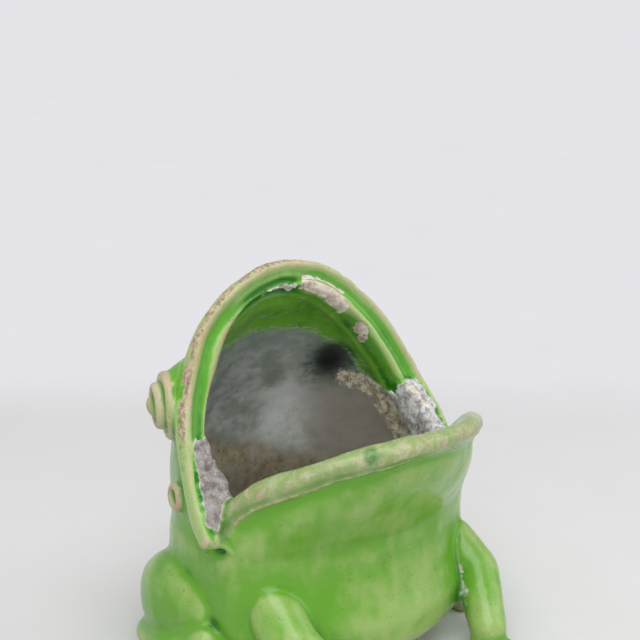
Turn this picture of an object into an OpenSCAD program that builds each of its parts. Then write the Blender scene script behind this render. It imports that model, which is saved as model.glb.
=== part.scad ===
// Glazed earthenware frog with a gaping mouth, used to hold cut flowers.
// The frog faces -Y and its left side is +X. The origin is under the middle of its
// outline, on the plane it stands on. Every member is a separately formed piece of
// clay, joined face to face to its neighbours with slip.

/* [Mouth] */
// Height of the mouth corners above the table
corner_z = 48; // [40:1:60]
// Height of the open mouth above its corners
gape_h = 68; // [50:1:85]
// Half width of the mouth over the outer edge of the upper lip
gape_w = 51; // [40:1:62]
// Backward lean of the gaping mouth for each millimetre of height
gape_lean = 0.42; // [0.2:0.01:0.7]
// Extra backward bow of the mouth between its corners and its top
gape_bow = 0.3; // [0:0.05:0.5]
// Width of the flat face of the upper lip
lip_w = 9; // [6:0.5:12]
// Depth of the upper lip from its face to its back
lip_depth = 7; // [5:0.5:10]

/* [Chin] */
// Half width of the lower lip at the mouth corners
chin_w = 42.8; // [35:0.2:50]
// Reach of the lower lip in front of the mouth corners
chin_reach = 34.1; // [25:0.1:42]
// Rise of the tip of the lower lip above the mouth corners
chin_rise = 28.1; // [15:0.1:35]
// Thickness of the rolled lower lip
chin_bead = 6; // [4:0.5:8]
// Outward swell of the chin below the lower lip
chin_swell = 3.5; // [0:0.5:7]

/* [Body] */
// Half depth of the whole figure, toes to rump
half_depth = 50; // [42:1:60]
// Half width of the body under the mouth corners
body_w = 47; // [38:1:54]
// Reach of the throat in front of the mouth corners
throat_reach = 20; // [16:1:30]
// Thickness of the clay walls
wall = 5.5; // [4:0.5:8]
// Thickness of the floor inside the body
floor_t = 6; // [4:0.5:9]
// Outer radius of the foot ring
foot_r = 30; // [24:1:36]
// Height of the foot ring
foot_h = 4; // [2:0.5:6]
// Radius of the hollow pressed behind each eye
eye_hollow = 8; // [5:0.5:10]

/* [Eyes and ears] */
// Height of the eyes above the table
eye_z = 79; // [70:1:95]
// Half distance between the flat seats of the eyes
eye_x = 39.5; // [34:0.5:46]
// Distance of the eye seats behind the mouth corners
eye_back = 31; // [22:0.5:38]
// Angle by which the eyes look back from straight sideways
eye_turn = 26; // [0:1:40]
// Radius of the brow ring
brow_r = 10.6; // [8:0.2:13]
// Height of the whole eye over its seat
eye_h = 7.6; // [5:0.2:10]
// Radius of the ear ring
ear_r = 4.4; // [3:0.2:6]

/* [Legs] */
// Half distance between the wrists
wrist_x = 27; // [18:1:34]
// Half distance between the ankles
ankle_x = 45; // [36:1:50]
// Thickness of the toes
toe_t = 5; // [3:0.5:7]

/* [Hidden] */

LEFT = 1;
RIGHT = -1;

glaze = "#76a84b";
pale_glaze = "#a9bd83";
dark_glaze = "#4f8236";
bare_clay = "#c7b7a2";
lime = "#aaa69f";

rump_reach = 51;                        // body wall behind the mouth corners
corner_y = half_depth - rump_reach;     // Y of the mouth corners
seam_back = rump_reach - 1.3;           // the same wall, at the seam
hood_inset = 5;                         // flange of the upper lip over the upper jaw
hood_w = gape_w - hood_inset;           // half width of the upper jaw
hood_h = gape_h - hood_inset + 1;
hollow_middle = [2, 5.5, -6.6 - eye_hollow];    // from the eye seat, with +Z out of the eye
seam_z = corner_z - 4.2;                // level seam where jaws and body join
belly_steps = 40;                       // facets around the body
arch_steps = 44;                        // stations along a lip
chin_power = 1.111;                     // roundness of the lower lip in plan

// ---- Curves ----------------------------------------------------------------------

// Y of the gaping mouth at a height given as a share of the gape
function gape_y(share) =
    corner_y + gape_h * (gape_lean * share - gape_bow * (share * share - share));

// Outer edge of the upper lip, from -90 degrees (right corner) to 90 (left corner)
function arch(a) = [gape_w * sin(a), gape_y(cos(a)), corner_z + gape_h * cos(a)];

function sgn_pow(v, p) = sign(v) * pow(abs(v), p);

// Middle of the lower lip, by the same angle
function chin_line(a) =
    let (ahead = pow(abs(cos(a)), chin_power))
    [chin_w * sgn_pow(sin(a), chin_power),
     corner_y - chin_reach * ahead,
     corner_z + chin_rise * pow(ahead, 0.46)];

function unit(v) = v / norm(v);

// Oval of half width w that reaches f to the front and, more squarely, b to the back
function oval(w, f, b, y, z) = [
    for (i = [0 : belly_steps - 1])
        let (a = 360 * i / belly_steps, s = sin(a), power = s < 0 ? 2 : 2.5)
        [w * sgn_pow(cos(a), 2 / power), y + (s < 0 ? f : b) * sgn_pow(s, 2 / power), z]
];

// Body ovals from the foot up to the seam: [z, half width, front, back, middle]
belly_rows = [
    [foot_h,      33,     20,           34,         2],
    [foot_h + 3,  39,     25,           41,         2],
    [foot_h + 8,  44,     29,           46,         2],
    [foot_h + 16, 46.5,   29,           48.5,       2],
    [foot_h + 24, 46.8,   25,           49.5,       1.5],
    [foot_h + 32, 46.8,   21.5,         50.3,       0.7],
    [seam_z,      body_w, throat_reach, seam_back,  0],
];

// ---- Helpers ---------------------------------------------------------------------

// Keeps the joined clay surfaces of its children as one mesh
module clay() {
    resize([0, 0, 0]) children();
}

// Solid through a list of closed rings that all have the same number of points
module loft(rings) {
    n = len(rings[0]);
    last = len(rings) - 1;
    middle = function (ring) [for (axis = [0 : 2]) [for (p = ring) p[axis]] * [for (p = ring) 1 / n]];
    points = [for (ring = rings) each ring, middle(rings[0]), middle(rings[last])];
    first_hub = len(rings) * n;
    faces = [
        for (i = [0 : last - 1], j = [0 : n - 1])
            let (k = (j + 1) % n)
            each [
                [i * n + j, (i + 1) * n + k, i * n + k],
                [i * n + j, (i + 1) * n + j, (i + 1) * n + k],
            ],
        for (j = [0 : n - 1]) [first_hub, j, (j + 1) % n],
        for (j = [0 : n - 1]) [first_hub + 1, last * n + (j + 1) % n, last * n + j],
    ];
    polyhedron(points, faces, convexity = 6);
}

// Rounded limb through a list of [x, y, z, radius]
module limb(joints, round = 20) {
    for (i = [0 : len(joints) - 2])
        hull()
            for (j = [joints[i], joints[i + 1]])
                translate([j[0], j[1], j[2]]) sphere(r = j[3], $fn = round);
}

// Everything in front of the level line where the chin meets the upper lip
module ahead_of_corners() {
    translate([-100, corner_y - 101.4, -1]) cube([200, 100, 200]);
}

module below_seam() {
    translate([-100, -100, seam_z - 100]) cube([200, 200, 100]);
}

module above_table() {
    intersection() {
        children();
        translate([-100, -100, 0]) cube([200, 200, 200]);
    }
}

// Draws its children on the chosen side of the frog
module on_side(side) {
    scale([side, 1, 1]) children();
}

// ---- Whole volumes that the members are cut from ------------------------------------

// Body from the foot to the seam
module belly_volume() {
    loft([for (r = belly_rows) oval(r[1], r[2], r[3], corner_y + r[4], r[0])]);
}

// Hollow of the body, one wall inside it and open at the seam
module belly_hollow() {
    floor_z = foot_h + floor_t;
    top = belly_rows[len(belly_rows) - 1];
    rows = [
        [floor_z, 38, 22, 38, 2],
        for (r = belly_rows) if (r[0] > floor_z) r,
        [seam_z + 1, top[1], top[2], top[3], top[4]],
    ];
    loft([for (r = rows) oval(r[1] - wall, r[2] - wall, r[3] - wall, corner_y + r[4], r[0])]);
}

// Everything in front of a surface that follows the gaping mouth
module gape_front(behind) {
    loft([
        for (share = [-0.2 : 0.1 : 1.2])
            let (y = gape_y(share) + behind, z = corner_z + gape_h * share)
            [[90, y, z], [-90, y, z], [-90, -90, z], [90, -90, z]]
    ]);
}

// Half oval standing behind the mouth, at one level of the upper jaw
function hood_ring(level, inset) =
    let (
        share = sin(level),
        w = hood_w * cos(level),
        back = (seam_back - 1) * cos(level) * (1 - 0.65 * share) + share,
        power = max(2, 2.5 - share),
        shrink = max(0.02, 1 - inset / max(hood_w * cos(level), inset + 0.01)),
        y = gape_y(share * hood_h / gape_h) + 1,
        z = corner_z + (hood_h - inset) * share,
        steps = 30
    )
    concat(
        [for (i = [0 : steps])
            let (a = 180 * i / steps)
            [w * shrink * sgn_pow(cos(a), 2 / power),
             y + max(0.1, back - inset) * sgn_pow(sin(a), 2 / power),
             z]],
        inset > 0 ? [[-w * shrink, y - 20, z], [w * shrink, y - 20, z]] : []
    );

// Upper jaw from the seam to its crown, made smaller all round by inset
module hood_volume(inset = 0) {
    base = hood_ring(0, inset);
    loft(concat(
        [[for (p = base) [p[0], p[1], seam_z - (inset > 0 ? 1 : 0)]]],
        [for (level = [0 : 6 : 84]) hood_ring(level, inset)],
        [hood_ring(88.5, inset)]
    ));
}

// Places its children on the flat seat of an eye, with +Z out of the eye
module on_eye_seat(side) {
    on_side(side)
        translate([eye_x, corner_y + eye_back, eye_z])
            rotate([0, 0, eye_turn]) rotate([0, 90, 0])
                children();
}

// ---- Members -----------------------------------------------------------------------

module foot_ring() {
    color(bare_clay)
        translate([0, corner_y + 8, 0])
            rotate_extrude($fn = 96)
                polygon([
                    [foot_r - 7, 0.8], [foot_r - 6.2, 0], [foot_r - 0.8, 0],
                    [foot_r, 0.8], [foot_r, foot_h], [foot_r - 7, foot_h],
                ]);
}

module belly_shell() {
    color(glaze) clay()
        difference() {
            belly_volume();
            belly_hollow();
        }
}

// Throat and chin, from the seam up to the lower lip
module lower_jaw() {
    rows = 8;
    function skin(a, t, inset) =
        let (
            out = [sin(a), -cos(a), 0],
            top = chin_line(a) - out * 0.2,
            base = [body_w * sin(a), corner_y - throat_reach * cos(a), seam_z],
            swell = chin_swell * pow(abs(cos(a)), 0.7) * sin(180 * pow(t, 0.85))
        )
        top + (base - top) * t + out * (swell - (1 - t) * 0.6 - inset);
    function profile(a) = concat(
        [for (i = [0 : rows]) skin(a, i / rows, 0)],
        [for (i = [rows : -1 : 0]) skin(a, i / rows, wall * (0.75 + 0.25 * i / rows))]
    );
    color(glaze) clay()
        difference() {
            intersection() {
                loft([for (i = [0 : arch_steps]) profile(-89.6 + 179.2 * i / arch_steps)]);
                ahead_of_corners();
            }
            lower_lip_volume();
            below_seam();
        }
}

module lower_lip_volume() {
    steps = 14;
    function bead(a) =
        let (
            along = unit(a > 0 ? chin_line(a) - chin_line(a - 1) : chin_line(a + 1) - chin_line(a)),
            out = unit(cross(along, [0, 0, 1])),
            up = cross(out, along),
            here = chin_line(a) + out * 0.6
        )
        [for (i = [0 : steps - 1])
            let (b = -360 * i / steps)
            here + out * (chin_bead * 0.56 * cos(b)) + up * (chin_bead * 0.46 * sin(b))];
    loft([for (i = [0 : arch_steps]) bead(-89.6 + 179.2 * i / arch_steps)]);
}

module lower_lip() {
    color(pale_glaze) clay()
        difference() {
            lower_lip_volume();
            upper_lip_volume();
        }
}

// Hood of the gaping mouth, with a hollow pressed out behind each eye
module upper_jaw() {
    color(glaze) clay()
        difference() {
            union() {
                hood_volume();
                for (side = [LEFT, RIGHT])
                    on_eye_seat(side)
                        translate([0, 0, -9]) cylinder(r1 = brow_r + 4, r2 = brow_r, h = 9, $fn = 32);
            }
            gape_front(behind = 1.5);
            hood_volume(inset = wall);
            for (side = [LEFT, RIGHT])
                on_eye_seat(side)
                    translate(hollow_middle) sphere(r = eye_hollow, $fn = 24);
            upper_lip_volume();
            below_seam();
        }
}

// Cross-section of the upper lip: [share of its width inward, height over its face]
lip_profile = [
    [0.42, -1.0], [0.12, -0.62], [0.0, -0.3], [0.0, 0.0], [0.06, 0.19], [0.16, 0.26],
    [0.27, 0.16], [0.37, 0.0], [0.5, -0.08], [0.64, -0.05], [0.76, 0.08], [0.86, 0.15],
    [0.96, 0.08], [1.06, -0.14], [1.13, -0.42], [1.16, -1.0],
];

module upper_lip_volume() {
    function section(a) =
        let (
            along = unit(arch(a + 1) - arch(a - 1)),
            in = unit(cross(along, unit([0, -0.92, 0.38]))),
            face = cross(in, along)
        )
        [for (p = lip_profile)
            arch(a) + in * (p[0] * lip_w) + face * (p[1] * lip_depth)];
    difference() {
        loft([for (i = [0 : arch_steps]) section(-90 + 180 * i / arch_steps)]);
        ahead_of_corners();
    }
}

module upper_lip() {
    color(pale_glaze) clay() upper_lip_volume();
}

// Low outer ring of an eye
module brow(side) {
    color(pale_glaze)
        on_eye_seat(side)
            rotate_extrude($fn = 60)
                translate([brow_r - 1.6, 0]) intersection() {
                    scale([1, 1.9]) circle(r = 1.6, $fn = 24);
                    translate([-2, 0]) square([4, 4]);
                }
}

// Thick ring between the brow and the eyeball
module eyelid(side) {
    inner = 4.2;
    outer = brow_r - 3.2;
    color(glaze)
        on_eye_seat(side)
            rotate_extrude($fn = 60)
                translate([(inner + outer) / 2, 0]) intersection() {
                    scale([1, eye_h * 0.8 / ((outer - inner) / 2)]) circle(r = (outer - inner) / 2, $fn = 24);
                    translate([-4, 0]) square([8, 12]);
                }
}

module eyeball(side) {
    r = 4.2;
    color(dark_glaze)
        on_eye_seat(side)
            rotate_extrude($fn = 60)
                intersection() {
                    union() {
                        translate([0, eye_h - r]) circle(r = r, $fn = 40);
                        square([r, eye_h - r]);
                    }
                    square([r, eye_h]);
                }
}

// Raised ring on the cheek behind the corner of the mouth
module ear_ring(side) {
    color(pale_glaze) clay()
        difference() {
            on_side(side)
                translate([body_w - 1.6, corner_y + 22, corner_z + 7])
                    rotate([0, 0, 12]) rotate([0, 90, 0])
                        rotate_extrude($fn = 28)
                            translate([ear_r - 1.1, 0]) circle(r = 1.5, $fn = 10);
            hood_volume();
        }
}

module nostril(side) {
    spot = hood_ring(70, 0)[10];
    color(dark_glaze) clay()
        difference() {
            on_side(side) translate(spot)
                rotate([-40, 0, 0]) difference() {
                    sphere(r = 2.4, $fn = 18);
                    translate([0, 0, 2.2]) sphere(r = 1.3, $fn = 12);
                }
            hood_volume();
            upper_lip_volume();
        }
}

// Long raised fold from behind the eye down to the rump
module back_fold(side) {
    color(glaze) clay()
        difference() {
            on_side(side) limb(round = 18, joints = [
                for (i = [0 : 3]) concat(hood_ring(36 - 12 * i, 0)[10], [2.2 + 0.5 * i]),
                for (i = [0 : 1])
                    let (r = belly_rows[5 - i])
                    concat(oval(r[1], r[2], r[3], corner_y + r[4], r[0])[7], [3.2 - 1.2 * i]),
            ]);
            hood_volume();
            belly_volume();
        }
}

module foreleg(side) {
    color(glaze) clay()
        difference() {
            on_side(side) limb([
                [35, corner_y - 8, 30, 8.5], [37, corner_y - 20, 21, 7.5],
                [wrist_x + 2, corner_y - 33, 9, 6],
            ]);
            belly_volume();
            forefoot_volume(side);
        }
}

// Palm and four toes, flat on the table
module forefoot_volume(side) {
    above_table() on_side(side)
        for (toe = [-1.5 : 1 : 1.5])
            hull() {
                translate([wrist_x + toe, corner_y - 33, toe_t * 0.55]) sphere(r = toe_t * 0.8, $fn = 14);
                translate([wrist_x + toe * 6.5, toe_tip_y(toe), toe_t * 0.32])
                    sphere(r = toe_t * 0.48, $fn = 14);
            }
}

// Y of a toe tip; the middle toes reach the front of the figure
function toe_tip_y(toe) = -half_depth + toe_t * 0.48 + 2.2 * (abs(toe) > 1 ? 1 : 0);

module forefoot(side) {
    color(glaze) clay()
        difference() {
            forefoot_volume(side);
            belly_volume();
        }
}

// Haunch against the side of the body
module thigh_volume(side) {
    on_side(side)
        translate([37, corner_y + 22, 19])
            rotate([-8, 0, 6]) scale([16, 25, 18]) sphere(r = 1, $fn = 30);
}

module thigh(side) {
    color(glaze) clay()
        difference() {
            thigh_volume(side);
            belly_volume();
            hood_volume();
            shank_volume(side);
            ear_ring(side);
        }
}

module shank_volume(side) {
    on_side(side) limb([
        [47, corner_y + 4, 15, 7], [49, corner_y + 20, 10, 6], [ankle_x, corner_y + 37, 6, 5],
    ]);
}

module shank(side) {
    color(glaze) clay()
        above_table() difference() {
            shank_volume(side);
            belly_volume();
            hindfoot_volume(side);
        }
}

// Long hind foot lying outside the shank, toes to the front
module hindfoot_volume(side) {
    above_table() on_side(side)
        for (toe = [0 : 4])
            hull() {
                translate([ankle_x + 1, corner_y + 36, toe_t * 0.5]) sphere(r = toe_t * 0.7, $fn = 14);
                translate([ankle_x - 1 + 2.6 * toe, corner_y - 9 + 1.1 * toe * toe, toe_t * 0.32])
                    sphere(r = toe_t * 0.45, $fn = 12);
            }
}

module hindfoot(side) {
    color(glaze) clay()
        difference() {
            hindfoot_volume(side);
            belly_volume();
        }
}

// Lump of lime and dirt grown in a corner of the mouth
module corner_crust(side) {
    color(lime) clay()
        difference() {
            on_side(side) limb(round = 14, joints = [
                for (i = [0 : 4])
                    let (p = arch(87 - 3.4 * i))
                    [p[0] - 8.2 + 0.5 * sin(150 * i), p[1] - 0.8, p[2] + 2.4,
                     3.4 + 0.4 * sin(200 * i) - 0.4 * i]
            ]);
            upper_lip_volume();
            hood_volume();
            lower_lip_volume();
        }
}

foot_ring();
belly_shell();
lower_jaw();
lower_lip();
upper_jaw();
upper_lip();
brow(LEFT);  // brow_left
brow(RIGHT);  // brow_right
eyelid(LEFT);  // eyelid_left
eyelid(RIGHT);  // eyelid_right
eyeball(LEFT);  // eyeball_left
eyeball(RIGHT);  // eyeball_right
ear_ring(LEFT);  // ear_ring_left
ear_ring(RIGHT);  // ear_ring_right
nostril(LEFT);  // nostril_left
nostril(RIGHT);  // nostril_right
back_fold(LEFT);  // back_fold_left
back_fold(RIGHT);  // back_fold_right
foreleg(LEFT);  // foreleg_left
foreleg(RIGHT);  // foreleg_right
forefoot(LEFT);  // forefoot_left
forefoot(RIGHT);  // forefoot_right
thigh(LEFT);  // thigh_left
thigh(RIGHT);  // thigh_right
shank(LEFT);  // shank_left
shank(RIGHT);  // shank_right
hindfoot(LEFT);  // hindfoot_left
hindfoot(RIGHT);  // hindfoot_right
corner_crust(LEFT);  // corner_crust_left
corner_crust(RIGHT);  // corner_crust_right
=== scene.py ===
"""Looks for a glazed earthenware frog with a gaping mouth.

Every clay member of the frame is turned into a distance field on one grid. The fields are
melted together as a potter joins wet clay, worn and chipped, and cut apart again into one
piece for each member. Lengths in this file are in millimetres unless a name says otherwise.
"""

import functools
import math

import bpy
import numpy as np
import openvdb as vdb
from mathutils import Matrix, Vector


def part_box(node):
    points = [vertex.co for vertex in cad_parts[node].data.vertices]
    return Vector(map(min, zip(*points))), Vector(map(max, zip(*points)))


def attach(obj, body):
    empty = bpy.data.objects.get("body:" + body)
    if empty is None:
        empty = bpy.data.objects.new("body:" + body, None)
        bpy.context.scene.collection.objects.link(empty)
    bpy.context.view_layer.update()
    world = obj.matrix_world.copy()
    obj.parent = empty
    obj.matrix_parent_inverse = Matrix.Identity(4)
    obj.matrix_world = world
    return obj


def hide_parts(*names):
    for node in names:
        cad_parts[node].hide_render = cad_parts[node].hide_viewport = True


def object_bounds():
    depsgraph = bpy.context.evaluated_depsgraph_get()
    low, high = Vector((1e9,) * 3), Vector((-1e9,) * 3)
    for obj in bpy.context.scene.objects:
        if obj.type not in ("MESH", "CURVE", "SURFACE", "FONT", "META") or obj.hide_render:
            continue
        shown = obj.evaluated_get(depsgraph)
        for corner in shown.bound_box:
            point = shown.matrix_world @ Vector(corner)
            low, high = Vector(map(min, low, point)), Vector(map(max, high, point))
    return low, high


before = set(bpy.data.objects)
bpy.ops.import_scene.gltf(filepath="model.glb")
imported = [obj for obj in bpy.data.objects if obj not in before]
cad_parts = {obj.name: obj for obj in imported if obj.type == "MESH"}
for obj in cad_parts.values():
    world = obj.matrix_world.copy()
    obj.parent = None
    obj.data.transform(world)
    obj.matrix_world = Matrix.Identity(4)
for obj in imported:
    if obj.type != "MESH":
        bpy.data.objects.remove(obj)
cad_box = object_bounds()

MM = 0.001                     # metres in a millimetre
STEP = 0.5   # side of a grid cell
BAND = 4.0                     # distance to which the fields are true
MARGIN = 5.0                   # room round the model in the grid
SEAM_OVERLAP = 0.7             # how far a piece reaches in under its neighbour
SEAM_SINK = 0.06               # how far it lies below its neighbour's surface there
EDIT_BAND = 2.2                # wear and growth change the field this near the surface
FILL = 2.1                     # half the width of the gaps that the crust can fill
BODY_ROUNDING = 1.7            # blur that smooths the facets and seams of the body away
LIP_SWELL = 1.5                # most that the lips may swell the body's wall


def box_of(node):
    """Lowest and highest corner of a CAD node."""
    low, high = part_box(node)
    return np.array(low) / MM, np.array(high) / MM


# ---- Where things are, read from the frame -----------------------------------------

SEAM_Z = box_of("upper_jaw")[0][2]
CORNER_Z = SEAM_Z + 4.2                     # height of the mouth corners
CORNER_Y = box_of("lower_jaw")[1][1] + 1.4
GAPE_W = box_of("upper_lip")[1][0]          # half width of the open mouth
GAPE_H = box_of("upper_lip")[1][2] - CORNER_Z
GAPE_LEAN = 0.42               # backward lean of the mouth for each millimetre of height
GAPE_BOW = 0.3                 # extra backward bow between its corners and its top
LIP_RADIUS = (GAPE_W + GAPE_H) * 0.45       # mean radius of the upper lip, for distances round it
MOUTH_HEART = np.array([0.0, CORNER_Y + 20.0, CORNER_Z + 15.0])   # middle of the hollow
BELLY_MIDDLE = sum(box_of("belly_shell")) / 2
BELLY_HALF = (box_of("belly_shell")[1] - box_of("belly_shell")[0]) / 2

BULK = ["belly_shell", "lower_jaw", "upper_jaw"]
LIPS = ["upper_lip", "lower_lip"]
# How each other member is melted on: blur of its own shape, width of the join, and how
# much it is thinned before it is melted on
MELT = {
    "upper_lip": [0.75, 2.2, 0.0], "lower_lip": [1.1, 4.5, 0.0], "brow": [0.8, 2.6, 0.1],
    "eyelid": [0.8, 1.6, -0.1], "eyeball": [0.9, 1.2, 0.0], "ear_ring": [0.7, 2.6, 0.2],
    "nostril": [0.6, 1.6, 0.0], "back_fold": [1.6, 4.0, 0.0], "foreleg": [1.6, 4.0, 0.0],
    "forefoot": [0.8, 1.6, 0.0], "thigh": [1.6, 4.0, 0.0], "shank": [1.2, 2.6, 0.0],
    "hindfoot": [0.8, 1.6, 0.0], "corner_crust": [1.0, 4.5, 1.1], "foot_ring": [0.5, 1.0, 0.0],
}


def kind_of(node):
    """Name of a member without its side."""
    return node.replace("_left", "").replace("_right", "")


def gape_y(share):
    """Y of the mouth's rim at a share of its height."""
    return CORNER_Y + GAPE_H * (GAPE_LEAN * share - GAPE_BOW * (share * share - share))


# ---- Grid and fields -----------------------------------------------------------------

# Cells are numbered from the origin. FIRST is the grid's lowest cell, COUNT its number of cells
low_corner = np.array(cad_box[0]) / MM - MARGIN
high_corner = np.array(cad_box[1]) / MM + MARGIN
FIRST = np.floor(low_corner / STEP).astype(int)
COUNT = np.ceil(high_corner / STEP).astype(int) - FIRST + 1
TRANSFORM = vdb.createLinearTransform(voxelSize=STEP)
LATTICE = 40                   # corners along a side of the repeating noise
BLUR_REACH = 2.8               # standard deviations to which a blur looks


class Window:
    """A box of grid cells that holds a member and the room round it."""

    def __init__(self, low=None, high=None):
        start = np.zeros(3, int)
        stop = COUNT.copy()
        if low is not None:
            start = np.maximum(np.floor(low / STEP).astype(int) - FIRST, 0)
            stop = np.minimum(np.ceil(high / STEP).astype(int) - FIRST + 1, COUNT)
        self.start, self.shape = start, tuple(int(n) for n in stop - start)
        self.cells = tuple(slice(int(a), int(b)) for a, b in zip(start, stop))
        self.first = tuple(int(n) for n in FIRST + start)


def grown_window(node, room):
    """Window round a CAD node with some room to spare."""
    low, high = box_of(node)
    return Window(low - room, high + room)


def level_set(window, points, triangles, quads=None):
    """Signed distance to a closed mesh, negative inside it."""
    extra = {} if quads is None else {"quads": quads}
    grid = vdb.FloatGrid.createLevelSetFromPolygons(
        points.astype(np.float32), triangles=triangles.astype(np.uint32),
        transform=TRANSFORM, halfWidth=BAND / STEP, **extra)
    field = np.full(window.shape, BAND, np.float32)
    grid.copyToArray(field, ijk=window.first)
    return field


def bend(points):
    """How far the hand that shaped the clay moved each place."""
    moves = [0.75 * lumps(points, 17.0, 10 + axis) + 0.3 * lumps(points, 7.0, 20 + axis)
             for axis in range(3)]
    return np.stack(moves, axis=1) * smooth(points[:, 2], 0.0, 12.0)[:, None]


def node_field(node, window):
    """Signed distance to a CAD node, bent by hand."""
    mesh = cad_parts[node].data
    mesh.calc_loop_triangles()
    points = np.empty(len(mesh.vertices) * 3, np.float32)
    mesh.vertices.foreach_get("co", points)
    corners = np.empty(len(mesh.loop_triangles) * 3, np.int32)
    mesh.loop_triangles.foreach_get("vertices", corners)
    points = points.reshape(-1, 3) / MM
    return level_set(window, points + bend(points), corners.reshape(-1, 3))


def polygons(field, window):
    """Surface where the field is zero."""
    grid = vdb.FloatGrid(background=BAND)
    grid.transform = TRANSFORM
    grid.copyFromArray(np.ascontiguousarray(field, np.float32), ijk=window.first)
    return grid.convertToPolygons(isovalue=0.0, adaptivity=0.0)


def blur(field, size):
    """Gaussian blur, with size as its standard deviation."""
    reach = max(1, int(round(BLUR_REACH * size / STEP)))
    offsets = np.arange(-reach, reach + 1)
    weights = np.exp(-0.5 * (offsets * STEP / size) ** 2)
    weights = (weights / weights.sum()).astype(np.float32)
    for axis in range(3):
        pads = [(0, 0)] * 3
        pads[axis] = (reach, reach)
        padded = np.pad(field, pads, mode="edge")
        total = np.zeros_like(field)
        length = field.shape[axis]
        for offset, weight in zip(offsets, weights):
            cut = [slice(None)] * 3
            cut[axis] = slice(int(reach + offset), int(reach + offset + length))
            total += weight * padded[tuple(cut)]
        field = total
    return field


def occupancy(distance):
    """Share of each cell that is clay."""
    return np.clip(0.5 - distance / STEP, 0, 1)


def softened(share, window, size):
    """Signed distance to a shape given by its occupancy, after its edges are rounded."""
    rounded = 0.5 - blur(np.clip(share, 0, 1).astype(np.float32), size)
    points, triangles, quads = polygons(rounded, window)
    return level_set(window, points, triangles, quads)


def melt(a, b, width):
    """Union of two fields with a rounded join."""
    near = np.maximum(width - np.abs(a - b), 0) / width
    return np.minimum(a, b) - near * near * width * 0.25


def smooth(value, start, end):
    """0 before start, 1 after end, and a smooth step between."""
    t = np.clip((value - start) / (end - start), 0, 1)
    return t * t * (3 - 2 * t)


def between_corners(values, base, share):
    """Values blended from the eight corners of each point's cell."""
    _, rows, columns = values.shape
    flat = values.ravel()
    first = (base[:, 0] * rows + base[:, 1]) * columns + base[:, 2]
    along_x, along_y, along_z = share.T

    def on_edge(offset):
        """Blend along one edge of each cell."""
        near = flat[first + offset]
        return near + (flat[first + offset + 1] - near) * along_z

    def on_face(offset):
        """Blend of the two edges of one face."""
        near = on_edge(offset)
        return near + (on_edge(offset + columns) - near) * along_y

    near = on_face(0)
    return near + (on_face(rows * columns) - near) * along_x


def sample(field, window, points):
    """Value of a field at free points."""
    places = points / STEP - (FIRST + window.start)
    places = np.clip(places, 0, np.array(field.shape) - 1.001)      # so that base + 1 exists too
    base = places.astype(int)
    return between_corners(field, base, places - base)


def facing_in(points, normal):
    """How squarely the surface faces the hollow, from -1 to 1."""
    to_heart = MOUTH_HEART - points
    to_axis = BELLY_MIDDLE - points
    to_axis[:, 2] = 0
    in_belly = points[:, 2:] < CORNER_Z - 6
    inwards = np.where(in_belly, to_axis, to_heart)
    inwards /= np.linalg.norm(inwards, axis=1)[:, None] + 1e-6
    size = np.linalg.norm(normal, axis=1) + 1e-6
    facing = np.sum(normal * inwards, axis=1) / size
    # On the floor of the belly, whatever faces up counts too
    on_floor = smooth(np.linalg.norm(to_axis, axis=1), 34, 28) * smooth(points[:, 2], 22, 16)
    return facing + on_floor * normal[:, 2] / size


def slope(field, window, points):
    """Gradient of a field at free points."""
    parts = []
    for axis in range(3):
        step = np.zeros(3)
        step[axis] = STEP
        parts.append(sample(field, window, points + step) - sample(field, window, points - step))
    return np.stack(parts, axis=1) / (2 * STEP)


@functools.lru_cache(maxsize=None)
def lattice(seed):
    """Random values on a cube of corners that repeats in every direction."""
    values = np.random.RandomState(seed).uniform(-1, 1, (LATTICE,) * 3).astype(np.float32)
    return np.pad(values, [(0, 1)] * 3, mode="wrap")


def lumps(points, size, seed):
    """Smooth random values from about -1 to 1, with bumps of the given size."""
    scaled = points / size
    base = np.floor(scaled).astype(int)
    share = scaled - base
    share = share * share * (3 - 2 * share)
    return between_corners(lattice(seed), base % LATTICE, share)


def rough_lumps(points, size, seed, octaves=3):
    """Lumps with finer lumps on them."""
    total = np.zeros(len(points))
    for octave in range(octaves):
        total += lumps(points, size / 2 ** octave, seed + octave) / 1.8 ** octave
    return total


# ---- Wear, chips and growth, as functions of place ------------------------------------
#
# Each mark fades in and out by smooth(value, start, end), with distances in millimetres and
# angles in degrees. Each kind of unevenness has a seed of its own.

class Places:
    """Points, with where each lies about the mouth before it was bent by hand."""

    def __init__(self, points, normal):
        self.points = points
        self.facing = facing_in(points, normal)
        straight = points - bend(points)
        across = straight[:, 0] / GAPE_W
        share = (straight[:, 2] - CORNER_Z) / GAPE_H
        radius = np.sqrt(across ** 2 + share ** 2) + 1e-6
        rate = np.sqrt((across / GAPE_W) ** 2 + (share / GAPE_H) ** 2) / radius
        # Degrees round the mouth from its top, the frog's left being positive
        self.angle = np.degrees(np.arctan2(across, share))
        # Distance in from the outer edge of the upper lip
        self.inward = (1 - radius) / (rate + 1e-9)
        # Distance behind the surface of the open mouth
        self.behind = straight[:, 1] - gape_y(share)
        # Distance round the upper lip from its top
        self.round = np.radians(self.angle) * LIP_RADIUS
        self.height = straight[:, 2] - CORNER_Z
        # How far the ragged edges of marks stray
        self.ragged = 0.7 * rough_lumps(points, 2.8, 100, 4)


def patch(u, v, middle, half, ragged, edge):
    """1 inside a ragged rectangle given by its middle and half sizes in u and v."""
    inside = np.minimum(half[0] - np.abs(u - middle[0]), half[1] - np.abs(v - middle[1]))
    return smooth(inside + ragged, -edge, edge)


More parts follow.
